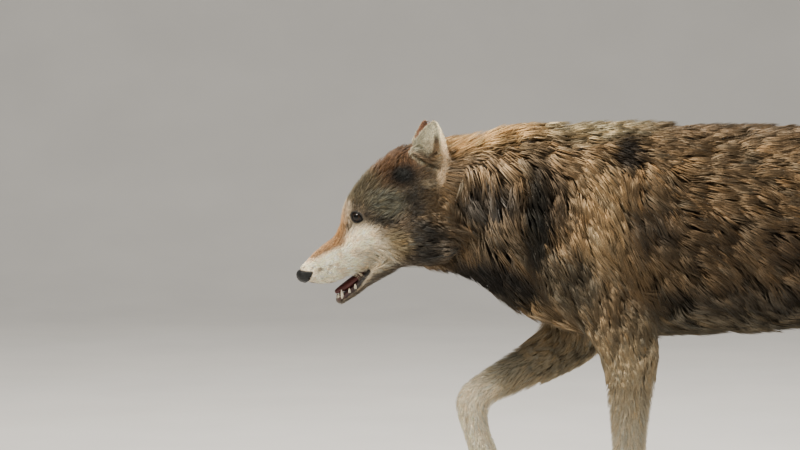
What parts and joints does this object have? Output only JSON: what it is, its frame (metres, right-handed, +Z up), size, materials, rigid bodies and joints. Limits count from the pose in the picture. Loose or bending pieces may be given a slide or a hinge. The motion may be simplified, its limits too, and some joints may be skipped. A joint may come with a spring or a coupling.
{
  "type": "model wolf",
  "caption": "Life-size still model of a grey wolf in winter coat, walking with its head low, its mouth a little open and one forefoot lifted.",
  "frame": {"origin": "bottom centre of the bounding box, on the floor under the middle of the body", "axes": "+Z up; the wolf's length lies along X, with its nose towards -X and its left side towards -Y"},
  "size_m": [1.4026, 0.2794, 0.8293],
  "materials": {
    "coat": "thick banded winter fur, sandy with black tips",
    "face_coat": "short fur, white on muzzle and cheek, grey on the temple",
    "ear_coat": "short reddish-brown fur, grey inside",
    "foot_coat": "short cream fur, with dark horn claws",
    "nose_leather": "moist pebbled black skin",
    "eye": "dark amber glass eye, polished",
    "tongue": "moist pink flesh"
  },
  "bodies": {
    "root": {"ear_left": "ear_coat", "ear_right": "ear_coat", "eye_left": "eye", "eye_right": "eye", "foreleg_left": "coat", "foreleg_right": "coat", "head": "face_coat", "hindleg_left": "coat", "hindleg_right": "coat", "lower_jaw": "face_coat", "neck": "coat", "nose": "nose_leather", "paw_front_left": "foot_coat", "paw_front_right": "foot_coat", "paw_hind_left": "foot_coat", "paw_hind_right": "foot_coat", "tail": "coat", "tongue": "tongue", "trunk": "coat"}
  },
  "joints": []
}
